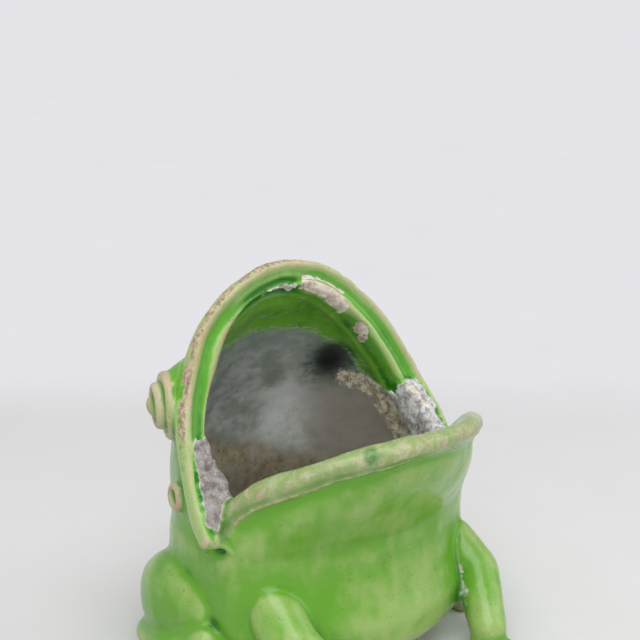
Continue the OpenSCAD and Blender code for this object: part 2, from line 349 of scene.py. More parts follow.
# Chips on the upper lip: middle angle, middle distance inward, half length, half width, depth
LIP_CHIPS = [
    [20.5, 7.0, 9.8, 2.5, 0.95],
    [28.0, 8.6, 4.6, 2.0, 0.85],
    [68.0, 7.6, 2.0, 0.7, 0.4],
    [72.5, 7.2, 1.6, 0.6, 0.4],
    [-33.0, 10.2, 9.0, 0.6, 0.5],
]
# Crumbled flake on its inner edge, in the same way
FLAKE = [0.5, 9.0, 7.0, 1.2]
# Chips elsewhere: middle, radius, depth
ROUND_CHIPS = [
    [[28.6, 22.8, 89.6], 2.3, 0.6],
    [[30.6, 23.6, 86.6], 1.5, 0.5],
    [[36.2, 29.4, 78.7], 1.3, 0.4],
]


def on_lip(at, mark):
    """1 inside a ragged mark on the upper lip, given as in LIP_CHIPS."""
    middle, inner, length, width = mark[:4]
    centre = [math.radians(middle) * LIP_RADIUS, inner]
    shown = patch(at.round, at.inward, centre, [length, width], at.ragged, 0.35)
    return shown * smooth(at.behind, 12, 8) * smooth(at.facing, -0.7, -0.45)


def broken_clay(at):
    """Depth of the broken places and how much bare clay shows."""
    depth = np.zeros(len(at.points))
    bare = np.zeros(len(at.points))
    for mark in LIP_CHIPS:
        broken = on_lip(at, mark)
        depth = np.maximum(depth, broken * mark[4])
        bare = np.maximum(bare, broken)
    for middle, radius, deep in ROUND_CHIPS:
        gap = radius - np.linalg.norm(at.points - np.array(middle), axis=1) + 1.2 * at.ragged
        broken = smooth(gap, -0.3, 0.4)
        depth = np.maximum(depth, broken * deep)
        bare = np.maximum(bare, broken)
    depth += bare * 0.2 * rough_lumps(at.points, 1.9, 140, 2)
    return depth, bare


def nicks(at):
    """Small nicks along the outer edge of the upper lip."""
    nick = smooth(lumps(at.points, 3.0, 150) + 0.3 * lumps(at.points, 1.3, 151), 0.25, 0.7)
    nick *= smooth(at.inward, 1.2, 0.1) * smooth(at.inward, -2.4, -1.0) * smooth(at.behind, 4.0, 1.6)
    return nick * smooth(np.abs(at.angle), 82, 66)


def crumbled_rim(at):
    """Rough brown rim of the upper lip, from past its top down beside the right eye."""
    reach = 2.0 + 5.0 * smooth(at.angle, -58, -38)
    rim = smooth(at.inward, 1.3, 0.2) * smooth(at.inward, -3.0, -2.0)
    rim *= smooth(at.behind, reach, reach - 2)
    return rim * smooth(at.angle, 26, -4) * smooth(at.angle, -78, -62)


def chips(at):
    """Depth of the broken places, how much bare clay shows, and how much of the edge is rubbed."""
    depth, bare = broken_clay(at)
    nick = nicks(at)
    rim = crumbled_rim(at)
    depth += 0.9 * nick
    depth += rim * 0.4 * smooth(rough_lumps(at.points, 2.4, 160), 0.0, 0.6)
    return depth, bare, np.maximum(nick, rim)


def on_front(at):
    """1 on the front half of the upper lip, above the mouth's corners."""
    return smooth(at.behind, -5, -2) * smooth(at.height, 2, 5)


def kept_glaze(at):
    """Stretches of the upper lip whose inner ridge is low and still green: [low right, crown]."""
    low_right = smooth(at.angle, -40, -60) * smooth(at.inward, 4.2, 7.2)
    crown = smooth(at.angle, -36, -14) * smooth(at.angle, 16, 5) * smooth(at.inward, 4.2, 7.4)
    on_rim = smooth(at.inward, 19.0, 14.0) * smooth(at.behind, 7.0, 2.0) * on_front(at)
    on_rim *= smooth(at.inward - 0.8 * at.behind, 1.0, 2.6)      # 0 on the back of the hood
    return low_right * on_rim, crown * on_rim


def greener_ridge(at):
    """Stretch of the inner ridge on the left that is less rubbed than the rest."""
    ridge = 0.55 * smooth(at.angle, 28, 40) * smooth(at.inward, 4.6, 7.0)
    return ridge * smooth(at.behind, 8, 4) * on_front(at)


def lip_softening(at):
    """Depth by which the inner ridge of the upper lip is pressed down where its glaze is kept."""
    low_right, crown = kept_glaze(at)
    return 1.2 * low_right + 2.0 * crown


def dust_edge(at):
    """How far behind the mouth the dust starts."""
    return 12.5 * smooth(at.height, 16.0, 26.0) + 2.2 * smooth(at.height, 26.0, 60.0)


def dirt_band(at):
    """Band of lime and dirt on the side walls, along the edge of the dust."""
    edge = at.behind - dust_edge(at) + 1.6 * rough_lumps(at.points, 4.0, 200)
    side = smooth(np.abs(at.points[:, 0]), 22, 33) * smooth(at.height, 30, 21)
    side *= smooth(at.inward, 6.0, 8.5)
    return smooth(edge, -1.6, 0.4) * smooth(edge, 24, 6) * side * smooth(at.facing, -0.1, 0.2)


def chalk_share(at, crust_gap):
    """How much of the chalky crust round the mouth's corners covers each place."""
    # On the upper lip it reaches further out the lower down it is
    ragged = rough_lumps(at.points, 2.6, 220)
    spread = at.inward + 0.43 * (np.abs(at.angle) - 73) + 1.2 * ragged
    low_lip = smooth(spread, 7.6, 9.4) * smooth(at.inward, 1.2, 2.6) * smooth(at.behind, 8, 4)
    low_lip *= smooth(at.behind, -5, -3) * smooth(np.abs(at.angle), 99, 94) * smooth(at.height, -3, 0)
    low_lip *= smooth(at.facing, -0.8, -0.5)
    near_crust = smooth(crust_gap + 1.1 * ragged, 3.8, 1.6) * smooth(crust_gap, 3.9, 3.2)
    return np.maximum(near_crust, low_lip)


def growth(at, crust_gap):
    """Height of the lime and dirt that has grown in the mouth, then how much shows: of all
    kinds, of chalk and flake, and of the flake alone."""
    chalk = chalk_share(at, crust_gap)
    flake = on_lip(at, FLAKE)
    shown = np.maximum(dirt_band(at) * 0.9, chalk)
    rough = 0.3 + 0.5 * rough_lumps(at.points, 2.3, 230)
    crumbs = 0.25 + 0.9 * rough_lumps(at.points, 1.8, 240)
    height = shown * np.clip(rough, -0.2, 0.9) * 0.55
    height += chalk * 0.2
    height += flake * np.clip(crumbs, -0.3, 1.2) * 0.8
    return height, np.maximum(shown, flake), np.maximum(chalk, flake), flake


def handwork(points):
    """Slight unevenness of clay that was shaped and glazed by hand."""
    wave = 0.34 * lumps(points, 15.0, 300) + 0.16 * lumps(points, 6.5, 310)
    return wave + 0.05 * lumps(points, 2.6, 320)


def places_of(cells):
    """Where grid cells lie, in millimetres."""
    return ((np.stack(cells, axis=1) + FIRST) * STEP).astype(np.float32)


# ---- The whole figure as one field -------------------------------------------------------

class Figure:
    """One field for the whole clay figure, and the share of it that each member owns."""

    def __init__(self):
        self.whole = Window()
        self.nodes = sorted(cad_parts)
        self.windows = {}
        self.distance = {}
        self.nearest = np.full(self.whole.shape, BAND, np.float32)
        self.second = np.full(self.whole.shape, BAND, np.float32)
        self.owner = np.full(self.whole.shape, -1, np.int8)
        for index, node in enumerate(self.nodes):
            self.add(index, node)
        self.field = self.melted_bulk()
        for node in self.nodes:
            if node not in BULK:
                self.melt_on(node)
        self.crust = self.crust_distance()
        self.closed = self.with_gaps_closed()
        self.fill_corners()
        self.wear()

    def add(self, index, node):
        """Measures the distance to one member and notes which member is nearest each cell."""
        window = grown_window(node, MARGIN)
        distance = node_field(node, window)
        self.windows[node] = window
        self.distance[node] = distance
        cells = window.cells
        closer = distance < self.nearest[cells]
        behind = np.where(closer, self.nearest[cells], np.minimum(self.second[cells], distance))
        self.second[cells] = behind
        self.owner[cells] = np.where(closer, index, self.owner[cells])
        self.nearest[cells] = np.where(closer, distance, self.nearest[cells])

    def share_of(self, nodes):
        """Share of each cell that is filled by some members."""
        share = np.zeros(self.whole.shape, np.float32)
        for node in nodes:
            share[self.windows[node].cells] += occupancy(self.distance[node])
        return share

    def melted_bulk(self):
        """The hollow body with its seams closed and its facets smoothed away."""
        body = self.share_of(BULK)
        alone = softened(body, self.whole, BODY_ROUNDING)
        with_lips = softened(body + self.share_of(LIPS), self.whole, BODY_ROUNDING)
        return np.maximum(with_lips, alone - LIP_SWELL)

    def melt_on(self, node):
        """Joins one member to the figure as wet clay is joined."""
        size, width, thinner = MELT[kind_of(node)]
        window = self.windows[node]
        shape = softened(occupancy(self.distance[node]), window, size) + thinner
        self.field[window.cells] = melt(self.field[window.cells], shape, width)

    def crust_distance(self):
        """Distance to the nearer lump of crust."""
        gap = np.full(self.whole.shape, BAND, np.float32)
        for node in self.nodes:
            if kind_of(node) == "corner_crust":
                cells = self.windows[node].cells
                gap[cells] = np.minimum(gap[cells], self.distance[node])
        return gap

    def with_gaps_closed(self):
        """Field of the figure with every narrow gap filled."""
        points, triangles, quads = polygons(self.field - FILL, self.whole)
        return level_set(self.whole, points, triangles, quads) + FILL

    def fill_corners(self):
        """Closes the gaps at the corners of the mouth as far as the crust reaches."""
        # Only well out to the sides, from 6 mm below the corners to 34 mm above them
        across, _, height = np.ogrid[tuple(slice(0, int(n)) for n in COUNT)]
        zone = np.abs((across + FIRST[0]) * STEP) > 30
        zone = zone & (np.abs((height + FIRST[2]) * STEP - CORNER_Z - 14) < 20)
        near = np.nonzero(zone & (self.closed < self.field - 0.02))
        points = places_of(near)
        at = Places(points, np.zeros(points.shape))
        share = growth(at, self.crust[near])[2]
        self.field[near] += (share * (self.closed[near] - self.field[near])).astype(np.float32)

    def wear(self):
        """Adds the handwork, chips and growth, and keeps the figure on the table."""
        near = np.nonzero(np.abs(self.field) < EDIT_BAND)
        normal = np.stack([np.gradient(self.field, axis=axis)[near] for axis in range(3)], axis=1)
        at = Places(places_of(near), normal)
        depth, bare, _ = chips(at)
        height = growth(at, self.crust[near])[0]
        gap = np.maximum(self.field - self.closed, 0)[near]
        change = depth - height + handwork(at.points) + lip_softening(at) - 0.8 * bare * gap
        self.field[near] += change.astype(np.float32)
        heights = (FIRST[2] + np.arange(COUNT[2])) * STEP
        self.field = np.maximum(self.field, -heights.astype(np.float32)[None, None, :])

    def piece_field(self, node):
        """Field of the part of the figure that belongs to one member."""
        window = self.windows[node]
        cells = window.cells
        owned = self.owner[cells] == self.nodes.index(node)
        rival = np.where(owned, self.second[cells], self.nearest[cells])
        # The lead changes two millimetres for each one across the seam
        lead = self.distance[node] - rival
        sunk = self.field[cells] + SEAM_SINK * smooth(lead, 0.0, 2 * SEAM_OVERLAP)
        return np.maximum(sunk, lead * 0.5 - SEAM_OVERLAP).astype(np.float32)


figure = Figure()
fine_hollow = blur(figure.field, 0.8) - figure.field
broad_hollow = blur(figure.field, 2.6) - figure.field


def inside_share(node, at):
    """1 on the walls and floor of the hollow, 0 outside."""
    if node not in BULK + LIPS and kind_of(node) != "corner_crust":
        return np.zeros(len(at.points))
    inside = smooth(at.facing, 0.02, 0.3) * smooth(at.inward, 8.0, 9.6)
    inside = np.maximum(inside, smooth(at.facing, 0.1, 0.4) * smooth(at.height, -4.0, -9.0))
    # The joins of the legs face inwards too, but they are further out than the inner wall
    share = np.linalg.norm(((at.points - BELLY_MIDDLE) / BELLY_HALF)[:, :2], axis=1)
    inside *= np.maximum(smooth(share, 0.95, 0.9), smooth(at.height, -6.0, -2.0))
    inside *= np.maximum(smooth(share, 0.9, 0.84), smooth(at.points[:, 2], 12.0, 20.0))
    return inside


def dust_share(at, inside):
    """How thickly the dust lies."""
    edge = at.behind - dust_edge(at) + 1.6 * lumps(at.points, 6.0, 400)
    deep_inside = smooth(at.facing, 0.1, 0.4) * smooth(at.height, 12.0, 4.0)
    return inside * np.maximum(smooth(edge, -2.5, 3.5), deep_inside)


def surface_marks(node, points):
    """What the materials need to know at each vertex."""
    window = figure.whole
    at = Places(points, slope(figure.field, window, points))
    inside = inside_share(node, at)
    _, bare, rubbed = chips(at)
    _, lime, chalk, flake = growth(at, sample(figure.crust, window, points))
    return {
        "fine_hollow": -sample(fine_hollow, window, points),
        "broad_hollow": -sample(broad_hollow, window, points),
        "inside": inside,
        "dust": dust_share(at, inside),
        "lime": lime,
        "chalk": chalk,
        "flake": flake,
        "bare": bare,
        "rubbed": rubbed,
        "kept": np.maximum(np.maximum(*kept_glaze(at)), greener_ridge(at)),
    }


def settle(field, window, points):
    """Moves mesh points the last fraction of a cell onto the surface."""
    for _ in range(2):
        rate = slope(field, window, points)
        size = np.maximum(np.sum(rate * rate, axis=1), 0.2)
        gap = np.clip(sample(field, window, points), -0.3, 0.3)
        points = points - rate * (gap / size)[:, None]
    return points


def largest_island(points, triangles, quads):
    """The mesh without the crumbs that came loose from it."""
    edges = np.concatenate([triangles[:, :2], triangles[:, 1:],
                            quads[:, :2], quads[:, 1:3], quads[:, 2:]])
    first, second = edges.astype(int).T
    # Every point takes the lowest label among its neighbours until nothing changes
    label = np.arange(len(points))
    while True:
        lowest = np.minimum(label[first], label[second])
        joined = label.copy()
        np.minimum.at(joined, label[first], lowest)
        np.minimum.at(joined, label[second], lowest)
        joined = joined[joined]
        if np.array_equal(joined, label):
            break
        label = joined
    kept = label == np.bincount(label).argmax()
    number = np.cumsum(kept) - 1
    triangles = number[triangles[kept[triangles[:, 0]]]]
    quads = number[quads[kept[quads[:, 0]]]]
    return points[kept], triangles, quads


def make_mesh(name, points, triangles, quads):
    """Smooth shaded mesh object from points in millimetres."""
    mesh = bpy.data.meshes.new(name)
    sizes = np.concatenate([np.full(len(triangles), 3), np.full(len(quads), 4)])
    # Corners are taken backwards, so that the faces look outwards
    corners = np.concatenate([triangles[:, ::-1].ravel(), quads[:, ::-1].ravel()])
    mesh.vertices.add(len(points))
    mesh.vertices.foreach_set("co", (points * MM).astype(np.float32).ravel())
    mesh.loops.add(len(corners))
    mesh.loops.foreach_set("vertex_index", corners.astype(np.int32))
    mesh.polygons.add(len(sizes))
    starts = np.concatenate([[0], np.cumsum(sizes)[:-1]])
    mesh.polygons.foreach_set("loop_start", starts.astype(np.int32))
    mesh.update(calc_edges=True)
    mesh.shade_smooth()
    piece = bpy.data.objects.new(name, mesh)
    bpy.context.scene.collection.objects.link(piece)
    return piece


def make_piece(node, material):
    """The visible piece that stands for one CAD node."""
    window = figure.windows[node]
    field = figure.piece_field(node)
    points, triangles, quads = largest_island(*polygons(field, window))
    points = settle(field, window, points.astype(float))
    piece = make_mesh(node + "_glazed", points, triangles, quads)
    for name, values in surface_marks(node, points).items():
        mark = piece.data.attributes.new(name, "FLOAT", "POINT")
        mark.data.foreach_set("value", values.astype(np.float32))
    piece.data.materials.append(material)
    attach(piece, "root")
    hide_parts(node)
    return piece


# ---- Materials ------------------------------------------------------------------------

def rgb(red, green, blue):
    """Scene colour for an everyday 0 to 255 one."""
    def linear(value):
        """Amount of light for one part of the colour."""
        share = value / 255
        return share / 12.92 if share <= 0.04045 else ((share + 0.055) / 1.055) ** 2.4
    return (linear(red), linear(green), linear(blue), 1.0)


class Shade:
    """Builds a material's nodes with plain calls."""

    def __init__(self, name):
        self.material = bpy.data.materials.new(name)
        self.material.use_nodes = True
        self.tree = self.material.node_tree
        self.tree.nodes.clear()
        self.place = self.node("ShaderNodeTexCoord").outputs["Object"]

    def node(self, kind, **settings):
        """A new shader node with some of its settings changed."""
        made = self.tree.nodes.new(kind)
        for name, value in settings.items():
            setattr(made, name, value)
        return made

    def feed(self, socket, value):
        """Links a socket to another one, or sets it to a plain value."""
        if isinstance(value, bpy.types.NodeSocket):
            self.tree.links.new(value, socket)
        else:
            socket.default_value = value

    def mark(self, name):
        """One of the values that surface_marks gives each vertex."""
        return self.node("ShaderNodeAttribute", attribute_name=name).outputs["Fac"]

    def noise(self, size, detail=3.0, rough=0.55, stretch=(1, 1, 1), twist=0.0):
        """Noise from 0 to 1 with features of the given size."""
        mapping = self.node("ShaderNodeMapping")
        self.feed(mapping.inputs["Vector"], self.place)
        mapping.inputs["Scale"].default_value = [1 / (size * MM * s) for s in stretch]
        noise = self.node("ShaderNodeTexNoise")
        self.feed(noise.inputs["Vector"], mapping.outputs["Vector"])
        noise.inputs["Scale"].default_value = 1.0
        noise.inputs["Detail"].default_value = detail
        noise.inputs["Roughness"].default_value = rough
        noise.inputs["Distortion"].default_value = twist
        return noise.outputs["Fac"]

    def axis(self, name):
        """One coordinate of the place, in millimetres."""
        parts = self.node("ShaderNodeSeparateXYZ")
        self.feed(parts.inputs[0], self.place)
        return self.calc("MULTIPLY", parts.outputs[name], 1 / MM)

    def height(self):
        """Height above the table, in millimetres."""
        return self.axis("Z")

    def across(self):
        """Distance towards the frog's left, in millimetres."""
        return self.axis("X")

    def near(self, spot, outer, inner):
        """1 within the inner distance of a spot and 0 beyond the outer one."""
        gap = self.node("ShaderNodeVectorMath", operation="DISTANCE")
        self.feed(gap.inputs[0], self.place)
        gap.inputs[1].default_value = spot * MM
        return self.step(self.calc("MULTIPLY", gap.outputs["Value"], 1 / MM), outer, inner)

    def calc(self, operation, a, b):
        """Sum, product or larger one of two values."""
        made = self.node("ShaderNodeMath", operation=operation)
        self.feed(made.inputs[0], a)
        self.feed(made.inputs[1], b)
        return made.outputs[0]

    def add(self, *terms):
        """Sum of values, or of (value, factor) pairs."""
        total = None
        for term in terms:
            if isinstance(term, tuple):
                term = self.calc("MULTIPLY", *term)
            total = term if total is None else self.calc("ADD", total, term)
        return total

    def times(self, *factors):
        """Product of values."""
        total = factors[0]
        for factor in factors[1:]:
            total = self.calc("MULTIPLY", total, factor)
        return total

    def step(self, value, start, end):
        """0 at start and 1 at end, with a smooth step between."""
        made = self.node("ShaderNodeMapRange", interpolation_type="SMOOTHSTEP")
        flipped = start > end
        self.feed(made.inputs["Value"], value)
        made.inputs["From Min"].default_value = min(start, end)
        made.inputs["From Max"].default_value = max(start, end)
        made.inputs["To Min"].default_value = 1.0 if flipped else 0.0
        made.inputs["To Max"].default_value = 0.0 if flipped else 1.0
        return made.outputs["Result"]

    def blend(self, a, b, share):
        """Colour or value a turned into b by the share."""
        colour = isinstance(a, tuple) or isinstance(b, tuple) or \
            any(isinstance(s, bpy.types.NodeSocketColor) for s in (a, b))
        made = self.node("ShaderNodeMix", data_type="RGBA" if colour else "FLOAT")
        first, second, result = (6, 7, 2) if colour else (2, 3, 0)     # numbers of its sockets
        self.feed(made.inputs[0], share)
        self.feed(made.inputs[first], a)
        self.feed(made.inputs[second], b)
        return made.outputs[result]

    def finish(self, colour, roughness, height):
        """Joins the parts in one Principled shader. Height is in metres."""
        shader = self.node("ShaderNodeBsdfPrincipled")
        bump = self.node("ShaderNodeBump")
        bump.inputs["Strength"].default_value = 1.0
        bump.inputs["Distance"].default_value = 1.0
        self.feed(bump.inputs["Height"], height)
        shader.inputs["Specular IOR Level"].default_value = SHINE
        self.feed(shader.inputs["Base Color"], colour)
        self.feed(shader.inputs["Roughness"], roughness)
        self.feed(shader.inputs["Normal"], bump.outputs["Normal"])
        output = self.node("ShaderNodeOutputMaterial")
        self.feed(output.inputs["Surface"], shader.outputs["BSDF"])
        return self.material


PALE_LIT_DUST = Vector((14.0, 42.0, 62.0))      # where the dust lies thickest, with painted light on it
SHADED_HOLLOW = Vector((26.0, 33.0, 77.5))    # behind the left eye, where a painted shadow darkens the hollow
RUSTY_RIDGE = Vector((-27.0, 18.0, 90.0))   # inner edge of the lip above the right eye
GREEN_SPOT = Vector((-19.4, -33.8, 76.0))   # a deep pool of glaze on the lower lip

# Clay that shows through
BEIGE = rgb(190, 180, 146)
PINKISH = rgb(192, 160, 140)
RUST = rgb(158, 128, 84)
MAUVE = rgb(142, 118, 102)
CLAY = rgb(222, 212, 197)
CLAY_DARK = rgb(186, 167, 146)
CLAY_CRUMBS = rgb(232, 227, 218)
CLAY_PITS = rgb(118, 98, 78)
GLAZE_PITS = rgb(106, 88, 54)
GLAZE_POOL = rgb(46, 116, 14)
# Dust, with painted light and shade on it
DUST_DARK = rgb(126, 130, 126)
DUST_PALE = rgb(180, 182, 179)
DUST_THIN = rgb(120, 130, 118)
DUST_THICK_LIT = rgb(222, 223, 222)
DUST_GREEN_SHADE = rgb(92, 112, 96)
DUST_BROWN_SHADED = rgb(134, 126, 116)
DUST_HIGH_SHADED = rgb(122, 140, 130)
DUST_GRAINS = rgb(84, 86, 82)
SHADOW = rgb(9, 12, 9)
COBWEB = rgb(170, 186, 168)
# Soil
SOIL_DARK = rgb(118, 108, 87)
SOIL_PALE = rgb(158, 149, 126)
SOIL_GREY = rgb(150, 148, 138)
SOIL_SPECKS = rgb(62, 54, 43)
# Lime and chalk
LIME_DARK = rgb(126, 114, 93)
LIME_PALE = rgb(202, 192, 168)
LIME_WHITE = rgb(226, 225, 223)
LIME_CRACKS = rgb(96, 88, 74)
LIME_RIM = rgb(214, 216, 208)
RIGHT_CHALK = [rgb(118, 112, 108), rgb(164, 158, 154)]
LEFT_CHALK = [rgb(150, 145, 140), rgb(212, 212, 212)]
FLAKE_WHITE = rgb(248, 246, 238)
# Stains on the lower lip, and a painted highlight towards its left end
MILKY_AND_HIGHLIGHT = rgb(200, 202, 176)
STAIN_BROWN = rgb(150, 132, 108)

# Roughness of each kind of surface
GLAZE_ROUGH = 0.2
WORN_ROUGH = 0.5
RUBBED_ROUGH = 0.8
CLAY_ROUGH = 0.9
DUST_ROUGH = 0.93
LIME_ROUGH = 0.95
SHINE = 0.38                   # strength of the glaze's mirror reflections
# Height of the finest relief
RIPPLES = 0.05 * MM
GRIT_ON_GLAZE = 0.008 * MM
GRIT_ON_DIRT = 0.2 * MM


def glaze_colour(s, pale, mid, deep, offset):
    """Green glaze: pale where it ran thin, deep where it pooled, and deeper on the walls of the
    hollow as painted shade.
    """
    cloud = s.noise(9.0, 3, 0.5)
    streak = s.noise(3.4, 3, 0.5, stretch=(1, 1, 4))
    fleck = s.noise(0.7, 2, 0.6)
    # The inside mark deepens the glaze on the walls of the hollow as painted shade
    depth = s.add((s.mark("broad_hollow"), 0.9), (s.mark("fine_hollow"), 2.0), (cloud, 0.85),
                  (streak, 0.44), (fleck, 0.14), (s.mark("inside"), 0.3), (s.mark("kept"), 0.5),
                  offset - 0.71)
    colour = s.blend(pale, mid, s.step(depth, -0.6, 0.05))
    return s.blend(colour, deep, s.step(depth, 0.2, 0.9))


def worn_share(s, amount):
    """Where the glaze has rubbed thin on the ridges."""
    patchy = s.noise(2.2, 5, 0.68)
    broad = s.noise(9.0, 2, 0.5)
    ridge = s.add((s.mark("fine_hollow"), -4.5), (s.mark("broad_hollow"), -0.25), (patchy, 1.9),
                  (broad, 0.8), amount - 1.93)
    ridge = s.add(ridge, (s.mark("kept"), -1.0))
    return s.step(ridge, 0.0, 0.5)


def rubbed_tint(s):
    """Beige, pinkish and rusty clay that shows through thin glaze."""
    tint = s.blend(BEIGE, PINKISH, s.step(s.noise(4.5, 3, 0.6), 0.5, 0.66))
    tint = s.blend(tint, RUST, s.times(s.step(s.noise(3.1, 4, 0.65), 0.55, 0.7), 0.8))
    return s.blend(tint, RUST, s.times(s.near(RUSTY_RIDGE, 17.0, 10.0), 0.6))


def dust_colour(s, cloud):
    """Grey dust: paler in the middle, partly painted light; painted shade behind the left eye; darker
    high up and brownish low on the left, partly painted shade.
    """
    swirl = s.noise(3.2, 5, 0.62, stretch=(1.9, 1.9, 1.0), twist=0.25)
    dust = s.blend(DUST_DARK, DUST_PALE, s.step(swirl, 0.25, 0.8))
    dust = s.blend(dust, DUST_THIN, s.times(s.step(cloud, 0.54, 0.36), 0.7))
    # Paler in the middle: partly thick dust, partly painted light where the wall faces up
    pale = s.times(s.near(PALE_LIT_DUST, 20.0, 3.0), s.step(cloud, 0.3, 0.6))
    dust = s.blend(dust, DUST_THICK_LIT, s.times(pale, 0.6))
    # Painted shade: round the hollow behind the left eye the dust turns darker and greener, and a
    # painted shadow fills the hollow
    greenish = s.times(s.near(SHADED_HOLLOW, 15.0, 7.0), s.step(swirl, 0.4, 0.6))
    dust = s.blend(dust, DUST_GREEN_SHADE, greenish)
    # Brownish low on the frog's left: partly brownish dust, partly painted shade
    low_left = s.times(s.step(s.across(), 14.0, 30.0), s.step(s.height(), 76.0, 62.0))
    dust = s.blend(dust, DUST_BROWN_SHADED, s.times(low_left, 0.85))
    dust = s.blend(dust, SHADOW, s.near(SHADED_HOLLOW, 10.5, 3.0))
    # Darker and greener towards the top: partly thin dust over the green glaze, partly painted shade
    return s.blend(dust, DUST_HIGH_SHADED, s.times(s.step(s.height(), 76.0, 92.0), 0.6))


def soil_colour(s):
    """Brown soil with grey patches and dark specks."""
    soil = s.blend(SOIL_DARK, SOIL_PALE, s.step(s.noise(3.6, 5, 0.68), 0.3, 0.7))
    patches = s.step(s.noise(14.0, 3, 0.6), 0.48, 0.62)
    soil = s.blend(soil, SOIL_GREY, s.times(patches, 0.5))
    speck = s.step(s.noise(1.3, 2, 0.5), 0.68, 0.74)
    return s.blend(soil, SOIL_SPECKS, speck)


def inner_dust(s, colour, roughness):
    """Grey dust with painted light and shade on it, brown dirt and cobweb haze inside the frog."""
    grain = s.noise(0.45, 3, 0.7)
    cloud = s.noise(13.0, 4, 0.55)
    low = s.add((s.height(), -0.12), (s.across(), -0.045), (cloud, 1.6), 6.0)
    dust = s.blend(dust_colour(s, cloud), soil_colour(s), s.step(low, 0.0, 0.7))
    dust = s.blend(dust, DUST_GRAINS, s.times(s.step(grain, 0.58, 0.75), 0.4))
    fibre = s.noise(0.9, 5, 0.75, stretch=(3.0, 3.0, 0.6), twist=0.8)
    wisp = s.add(s.mark("dust"), (fibre, 0.8), (s.noise(3.0, 3, 0.6), 0.4), -0.6)
    share = s.times(s.step(wisp, 0.18, 0.75), s.step(s.mark("dust"), 0.0, 0.15),
                    s.step(s.mark("inside"), 0.1, 0.4))
    haze = s.times(s.step(wisp, 0.0, 0.3), s.step(wisp, 0.8, 0.4), s.step(fibre, 0.42, 0.6))
    haze = s.times(haze, s.step(s.height(), CORNER_Z + 20, CORNER_Z + 28))
    haze = s.times(haze, s.step(s.mark("inside"), 0.5, 1.0), 0.7)
    colour = s.blend(colour, dust, share)
    colour = s.blend(colour, COBWEB, haze)
    return colour, s.blend(roughness, DUST_ROUGH, share), share


def chalk_colour(s, lump, left):
    """Chalk: grey and mauve in the right corner of the mouth, whiter in the left one."""
    right_chalk = s.blend(*RIGHT_CHALK, s.step(lump, 0.4, 0.62))
    left_chalk = s.blend(*LEFT_CHALK, s.step(lump, 0.4, 0.6))
    return s.blend(right_chalk, left_chalk, left)


def lime_growth(s, colour, roughness):
    """Chalky crust of lime and dirt."""
    lump = s.noise(2.2, 5, 0.7)
    grain = s.noise(0.45, 3, 0.7)
    crust = s.blend(LIME_DARK, LIME_PALE, s.step(lump, 0.38, 0.6))
    pale = s.step(s.add(s.mark("chalk"), (lump, 0.8), -0.4), 0.3, 0.8)
    left = s.step(s.across(), -5.0, 5.0)
    crust = s.blend(crust, chalk_colour(s, lump, left), pale)
    white = s.times(s.step(grain, 0.52, 0.68), s.blend(0.35, 0.6, left))
    crust = s.blend(crust, LIME_WHITE, white)
    cracks = s.times(s.step(s.mark("fine_hollow"), 0.06, 0.22), 0.5)
    crust = s.blend(crust, LIME_CRACKS, cracks)
    rim = s.times(s.step(s.mark("lime"), 0.06, 0.3), s.step(s.mark("lime"), 0.75, 0.4))
    rim = s.times(rim, s.step(s.mark("dust"), 0.6, 0.2))
    crust = s.blend(crust, LIME_RIM, s.times(rim, 0.8))
    flake = s.times(s.mark("flake"), s.step(grain, 0.3, 0.44))
    crust = s.blend(crust, FLAKE_WHITE, flake)
    ragged = s.step(s.add(s.mark("lime"), (lump, 0.8), -0.4), 0.35, 0.6)
    share = s.times(ragged, s.step(s.mark("lime"), 0.05, 0.2))
    return s.blend(colour, crust, share), s.blend(roughness, LIME_ROUGH, share), share


def bare_clay_marks(s, colour, roughness):
    """Broken and rubbed places where the clay shows through the glaze."""
    grain = s.noise(0.6, 4, 0.75)
    stain = s.noise(3.2, 4, 0.6)
    clay = s.blend(CLAY_DARK, CLAY, s.step(stain, 0.34, 0.6))
    clay = s.blend(clay, CLAY_CRUMBS, s.times(s.step(grain, 0.48, 0.62), 0.75))
    clay = s.blend(clay, CLAY_PITS, s.times(s.step(grain, 0.42, 0.32), 0.6))
    share = s.step(s.add(s.mark("bare"), (grain, 0.5), -0.25), 0.35, 0.6)
    colour = s.blend(colour, clay, share)
    roughness = s.blend(roughness, CLAY_ROUGH, share)
    rubbed = s.step(s.add(s.mark("rubbed"), (s.noise(1.6, 4, 0.7), 1.4), -0.95), 0.25, 0.7)
    colour = s.blend(colour, s.blend(MAUVE, BEIGE, s.step(s.noise(1.2, 4, 0.7), 0.4, 0.62)), rubbed)
    return colour, s.blend(roughness, RUBBED_ROUGH, rubbed), share


def lip_stains_and_highlight(s, colour):
    """Milky and pinkish stains on the lower lip, milkier towards the left, where they are partly a
    painted highlight.
    """
    patchy = s.add(s.noise(7.0, 4, 0.6), (s.noise(1.6, 4, 0.7), 0.4), (s.mark("fine_hollow"), -0.5))
    # Towards the frog's left the milky patches grow stronger as a painted highlight
    milky_and_highlight = s.times(s.step(patchy, 0.66, 1.0), s.blend(0.4, 0.9, s.step(s.across(), 8.0, 38.0)))
    colour = s.blend(colour, MILKY_AND_HIGHLIGHT, milky_and_highlight)
    brown = s.step(s.add(s.noise(4.5, 5, 0.7), (s.mark("fine_hollow"), -0.8)), 0.6, 0.8)
    return s.blend(colour, STAIN_BROWN, s.times(brown, 0.5, s.step(s.across(), 30.0, 5.0)))


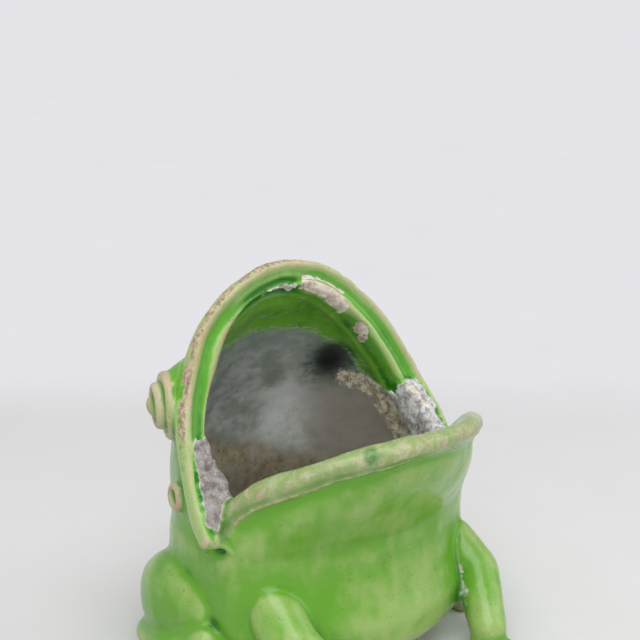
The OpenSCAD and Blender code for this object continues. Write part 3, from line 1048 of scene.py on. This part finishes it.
def glazed(name, pale, mid, deep, offset, wear):
    """Glazed earthenware with everything that may lie on it."""
    s = Shade(name)
    colour = glaze_colour(s, rgb(*pale), rgb(*mid), rgb(*deep), offset)
    worn = worn_share(s, wear)
    patchy = s.blend(0.35, 0.9, s.step(s.noise(3.7, 4, 0.6), 0.35, 0.6))
    colour = s.blend(colour, rubbed_tint(s), s.times(worn, patchy))
    pits = s.step(s.noise(0.8, 1, 0.5), 0.70, 0.76)
    colour = s.blend(colour, GLAZE_PITS, s.times(pits, 0.6))
    colour = s.blend(colour, GLAZE_POOL, s.times(s.near(GREEN_SPOT, 3.2, 1.6), 0.9))
    if name == "low_lip_glaze":
        colour = lip_stains_and_highlight(s, colour)
    roughness = s.blend(GLAZE_ROUGH, WORN_ROUGH, worn)
    colour, roughness, dust = inner_dust(s, colour, roughness)
    colour, roughness, lime = lime_growth(s, colour, roughness)
    colour, roughness, bare = bare_clay_marks(s, colour, roughness)
    ripple = s.noise(2.2, 2, 0.5)
    grit = s.noise(0.35, 3, 0.7)
    dirty = s.calc("MAXIMUM", s.calc("MAXIMUM", dust, lime), bare)
    height = s.add((ripple, RIPPLES), s.times(grit, s.blend(GRIT_ON_GLAZE, GRIT_ON_DIRT, dirty)))
    return s.finish(colour, roughness, height)


# Glaze where it is pale, middling and deep, then how deep it is overall and how much is rubbed
GLAZES = {
    "body_glaze": ((148, 178, 98), (100, 160, 44), (44, 108, 20), 0.0, 0.0),
    "lip_glaze": ((158, 184, 114), (94, 162, 50), (38, 112, 18), 0.0, 0.06),
    "ridge_glaze": ((160, 176, 118), (100, 142, 62), (42, 98, 26), 0.0, 0.0),
    "lid_glaze": ((172, 178, 134), (100, 138, 64), (36, 88, 22), 0.05, 0.45),
    "low_lip_glaze": ((138, 160, 97), (90, 137, 52), (44, 100, 24), 0.05, 0.3),
    "dark_glaze": ((150, 168, 108), (88, 134, 56), (36, 88, 22), 0.1, 0.1),
    "bare_clay": ((196, 180, 152), (184, 166, 136), (150, 130, 100), 0.0, 0.4),
    "lime_crust": ((176, 174, 168), (150, 146, 138), (110, 104, 92), 0.0, 0.0),
}
materials = {name: glazed(name, *look) for name, look in GLAZES.items()}

# Slot of each kind of member. The others have body_glaze
SLOTS = {"upper_lip": "lip_glaze", "lower_lip": "lip_glaze", "brow": "ridge_glaze",
         "ear_ring": "ridge_glaze", "eyeball": "dark_glaze", "nostril": "dark_glaze",
         "foot_ring": "bare_clay", "corner_crust": "lime_crust"}

# Kinds of member whose material isn't the one named after their slot
OWN_MATERIALS = {"eyelid": "lid_glaze", "lower_lip": "low_lip_glaze"}

for node in figure.nodes:
    slot = SLOTS.get(kind_of(node), "body_glaze")
    make_piece(node, materials[OWN_MATERIALS.get(kind_of(node), slot)])


# ---- Floor, light and camera ---------------------------------------------------------------

AZIMUTH = math.radians(-41.4)
ELEVATION = math.radians(16.0)
BACK = Vector((math.sin(AZIMUTH) * math.cos(ELEVATION), -math.cos(AZIMUTH) * math.cos(ELEVATION),
               math.sin(ELEVATION)))
AWAY = Vector((-BACK.x, -BACK.y, 0)).normalized()     # level direction the camera looks along
AIM = Vector((-5.5, 3.1, 103.6))            # middle of the picture
REACH = 430.0                               # from there back to the camera
LENS = 84.375                               # focal length
SENSOR = 36.0                               # width of the camera's film
WALL_START = 0.19                           # metres behind the frog where the floor starts to fade
WALL_END = 0.27
# Lamps: name, place and side in metres, and watts
LAMPS = [
    ["top", (-0.2, -0.3, 1.1), 0.9, 9.0],
    ["front", (-0.9, -0.9, 0.7), 0.8, 4.5],
    ["side", (0.9, -0.6, 0.6), 0.8, 3.0],
]
LAMP_AIM = Vector((0, 0, 0.06))             # what the lamps point at, in metres
FLOOR_HALF = 6.0                            # half the side of the table top, in metres
SKY_STRENGTH = 0.62                         # of the even light from all round
WALL = rgb(231, 230, 235)
WALL_SHADE = rgb(226, 225, 230)
TABLE = rgb(214, 214, 213)
TABLE_SHADE = rgb(209, 209, 207)


def make_floor():
    """Pale table top that fades into an even pale wall far behind the frog."""
    half = FLOOR_HALF
    mesh = bpy.data.meshes.new("floor")
    mesh.from_pydata([(-half, -half, 0), (half, -half, 0), (half, half, 0), (-half, half, 0)],
                     [], [(0, 1, 2, 3)])
    floor = bpy.data.objects.new("floor", mesh)
    bpy.context.scene.collection.objects.link(floor)
    s = Shade("floor")
    dot = s.node("ShaderNodeVectorMath", operation="DOT_PRODUCT")
    s.feed(dot.inputs[0], s.place)
    dot.inputs[1].default_value = AWAY
    far = s.step(dot.outputs["Value"], WALL_START, WALL_END)
    table = s.node("ShaderNodeBsdfDiffuse")
    s.feed(table.inputs["Color"], s.blend(TABLE, TABLE_SHADE, s.noise(30.0, 3, 0.6)))
    wall = s.node("ShaderNodeEmission")
    s.feed(wall.inputs["Color"], s.blend(WALL, WALL_SHADE, s.noise(60.0, 4, 0.6)))
    mix = s.node("ShaderNodeMixShader")
    s.feed(mix.inputs[0], far)
    s.feed(mix.inputs[1], table.outputs[0])
    s.feed(mix.inputs[2], wall.outputs[0])
    output = s.node("ShaderNodeOutputMaterial")
    s.feed(output.inputs["Surface"], mix.outputs[0])
    mesh.materials.append(s.material)


def make_light(name, place, size, watts):
    """Large soft lamp at a place in metres, aimed at the frog."""
    lamp = bpy.data.lights.new(name, "AREA")
    lamp.shape = "SQUARE"
    lamp.size = size
    lamp.energy = watts
    holder = bpy.data.objects.new(name, lamp)
    holder.location = place
    aim = LAMP_AIM - Vector(place)
    holder.rotation_mode = "QUATERNION"
    holder.rotation_quaternion = aim.to_track_quat("-Z", "Y")
    bpy.context.scene.collection.objects.link(holder)


def make_world():
    """Even pale light from all round."""
    world = bpy.data.worlds.new("studio")
    world.use_nodes = True
    background = world.node_tree.nodes["Background"]
    background.inputs["Color"].default_value = WALL
    background.inputs["Strength"].default_value = SKY_STRENGTH
    bpy.context.scene.world = world


def make_camera():
    """Camera in front of the frog's right side, looking down a little."""
    data = bpy.data.cameras.new("camera")
    data.lens = LENS
    data.sensor_width = SENSOR
    data.clip_start = 0.01
    data.clip_end = 50.0
    camera = bpy.data.objects.new("camera", data)
    camera.location = (AIM + BACK * REACH) * MM
    camera.rotation_mode = "QUATERNION"
    camera.rotation_quaternion = (-BACK).to_track_quat("-Z", "Y")
    bpy.context.scene.collection.objects.link(camera)
    bpy.context.scene.camera = camera


make_floor()
make_world()
for lamp in LAMPS:
    make_light(*lamp)
make_camera()
bpy.context.scene.view_settings.view_transform = "Standard"
